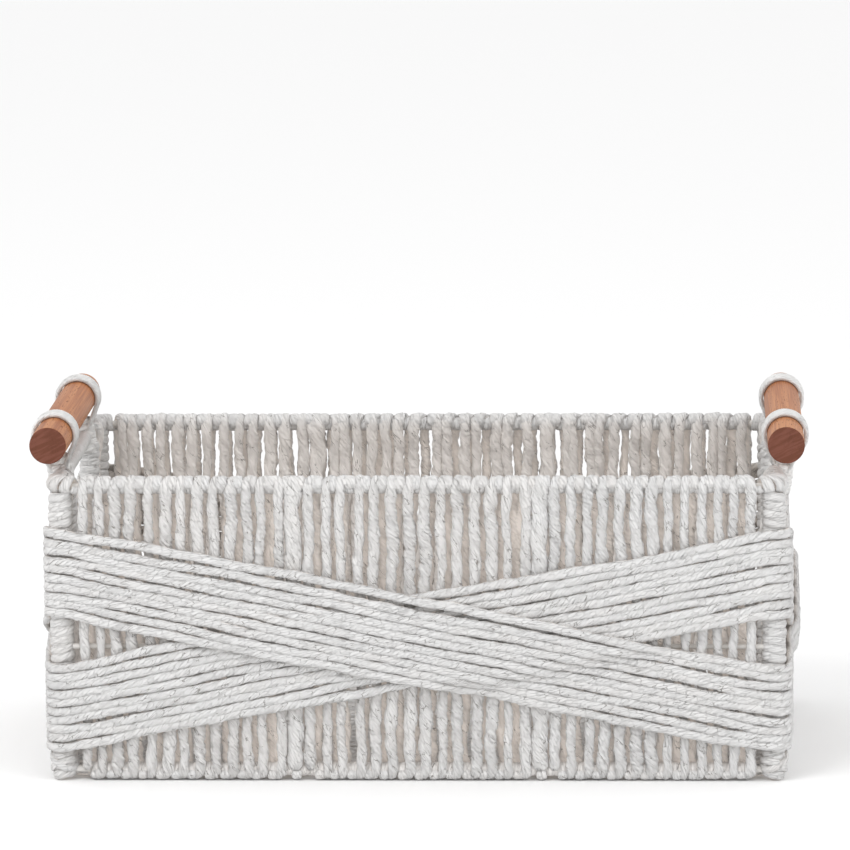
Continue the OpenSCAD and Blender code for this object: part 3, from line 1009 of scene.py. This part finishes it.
class BASKET_OT_turn_dowels(BasketOperator, bpy.types.Operator):
    """Turns the two wooden dowels"""
    bl_idname = "basket.turn_dowels"
    bl_label = "Turn the dowels"

    def build(self, ropes, handles):
        self.turn("left", -1, LEFT)
        self.turn("right", 1, RIGHT)

    def turn(self, name, side_x, body):
        """One dowel: a round bar with softly broken edges."""
        columns, cuts, edge, margin = 96, 60, 0.0006, 0.004
        bevel = np.linspace(0, math.pi / 2, 6)
        face = np.array([0.35, 0.7, 0.93]) * (DOWEL_R - edge)
        radii = np.concatenate([face, DOWEL_R - edge + edge * np.sin(bevel)])
        places = np.concatenate([
            np.full(len(face), -DOWEL_HALF), -DOWEL_HALF + edge - edge * np.cos(bevel)])
        between = np.linspace(-DOWEL_HALF + margin, DOWEL_HALF - margin, cuts)
        profile_r = np.concatenate([radii, np.full(cuts, DOWEL_R), radii[::-1]])
        profile_y = np.concatenate([places, between, -places[::-1]])
        sawn = np.ones(len(radii) - 1)
        sawn = np.concatenate([sawn, np.zeros(cuts + 2), sawn])
        angle = full_turn(columns)
        rings = len(profile_r)
        points, marks = np.empty((rings, columns, 3)), np.zeros((rings, columns, 3))
        points[..., 0] = side_x * DOWEL_X + profile_r[:, None] * np.cos(angle)
        points[..., 1] = DOWEL_Y + profile_y[:, None]
        points[..., 2] = DOWEL_Z + profile_r[:, None] * np.sin(angle)
        marks[..., 0] = sawn[:, None]
        rim = np.arange(columns)
        caps = [rim, (rings - 1) * columns + rim[::-1]]
        mesh = bpy.data.meshes.new(f"{name}_wood")
        faces = tube_faces(rings, columns)[2].tolist() + [cap.tolist() for cap in caps]
        mesh.from_pydata(points.reshape(-1, 3).tolist(), [], faces)
        mesh.shade_smooth()
        mark(mesh, "shade_and_tone_masks", marks)
        add_piece(f"{name}_wood", mesh, "oiled wood", body, [f"{name}_dowel"])


# What the lights and the camera point at.
TARGET = np.array([0, 0, 0.08])


class BASKET_OT_set_stage(BasketOperator, bpy.types.Operator):
    """Sets the floor, the soft lights and the camera"""
    bl_idname = "basket.set_stage"
    bl_label = "Set the stage"

    def execute(self, context):
        settings = context.scene.basket_stage
        self.lay_floor(settings)
        self.light(context.scene, settings)
        self.aim(context.scene, settings)
        context.scene.view_settings.view_transform = "Standard"
        return {"FINISHED"}

    def lay_floor(self, settings):
        size = 12.0
        mesh = bpy.data.meshes.new("studio_floor")
        mesh.from_pydata([(-size, -size, 0), (size, -size, 0), (size, size, 0), (-size, size, 0)],
                         [], [(0, 1, 2, 3)])
        matt = Finish("studio floor", Base_Color=opaque(settings.floor), Roughness=0.9)
        mesh.materials.append(matt.material)
        linked("studio_floor", mesh)

    def light(self, scene, settings):
        world = bpy.data.worlds.new("studio sky")
        world.use_nodes = True
        sky = world.node_tree.nodes["Background"]
        sky.inputs["Color"].default_value = (1.0, 1.0, 1.0, 1)
        sky.inputs["Strength"].default_value = settings.sky
        scene.world = world
        for name, place, size, share in (
                ("key", (-1.1, -1.5, 2.0), 1.3, 1.0), ("fill", (1.6, -1.3, 1.1), 1.6, 0.35)):
            lamp = bpy.data.lights.new(name, "AREA")
            lamp.shape, lamp.size = "SQUARE", size
            lamp.energy = settings.key_light * share
            back = unit(np.array(place) - TARGET)
            side = unit(np.cross((0, 0, 1.0), back))
            linked(name, lamp).matrix_world = Matrix((
                *zip(side, np.cross(back, side), back, place), (0, 0, 0, 1)))

    def aim(self, scene, settings):
        """Puts the camera a little above the basket and a hair to its left, looking down."""
        pitch, yaw, roll = 0.1584, 0.0427, -0.0078
        aside, above = 0.00044, 0.09722
        ahead = np.array([-math.sin(yaw) * math.cos(pitch), math.cos(yaw) * math.cos(pitch),
                          -math.sin(pitch)])
        right = unit(np.cross(ahead, (0, 0, 1.0)))
        up = np.cross(right, ahead)
        eye = TARGET - settings.distance * ahead + aside * right + above * up
        tilted = right * math.cos(roll) + up * math.sin(roll)
        crown = up * math.cos(roll) - right * math.sin(roll)
        data = bpy.data.cameras.new("camera")
        data.sensor_width, data.lens = 36.0, settings.focal_length
        data.clip_end = 100
        scene.camera = linked("camera", data)
        scene.camera.matrix_world = Matrix((*zip(tilted, crown, -ahead, eye), (0, 0, 0, 1)))


OPERATORS = (
    BASKET_OT_coat_wires, BASKET_OT_wind_walls, BASKET_OT_wrap_rims, BASKET_OT_wrap_corners,
    BASKET_OT_wrap_openings, BASKET_OT_weave_floor, BASKET_OT_wind_bands,
    BASKET_OT_tie_loops, BASKET_OT_turn_dowels, BASKET_OT_set_stage,
)


class BASKET_PT_sidebar(bpy.types.Panel):
    """Lists the steps that make the basket"""
    bl_idname = "BASKET_PT_sidebar"
    bl_label = "Paper Rope Basket"
    bl_space_type = "VIEW_3D"
    bl_region_type = "UI"
    bl_category = "Basket"

    def draw(self, context):
        for operator in OPERATORS:
            self.layout.operator(operator.bl_idname)


SETTINGS = (
    ("basket_ropes", BasketRopeSettings), ("basket_handles", BasketHandleSettings),
    ("basket_stage", BasketStageSettings),
)


def register():
    for name, settings in SETTINGS:
        bpy.utils.register_class(settings)
        setattr(bpy.types.Scene, name, bpy.props.PointerProperty(type=settings))
    for made in (*OPERATORS, BASKET_PT_sidebar):
        bpy.utils.register_class(made)


def unregister():
    for made in (BASKET_PT_sidebar, *reversed(OPERATORS)):
        bpy.utils.unregister_class(made)
    for name, settings in reversed(SETTINGS):
        delattr(bpy.types.Scene, name)
        bpy.utils.unregister_class(settings)


def main():
    register()
    for operator in OPERATORS:
        group, name = operator.bl_idname.split(".")
        getattr(getattr(bpy.ops, group), name)()


if __name__ == "__main__":
    main()
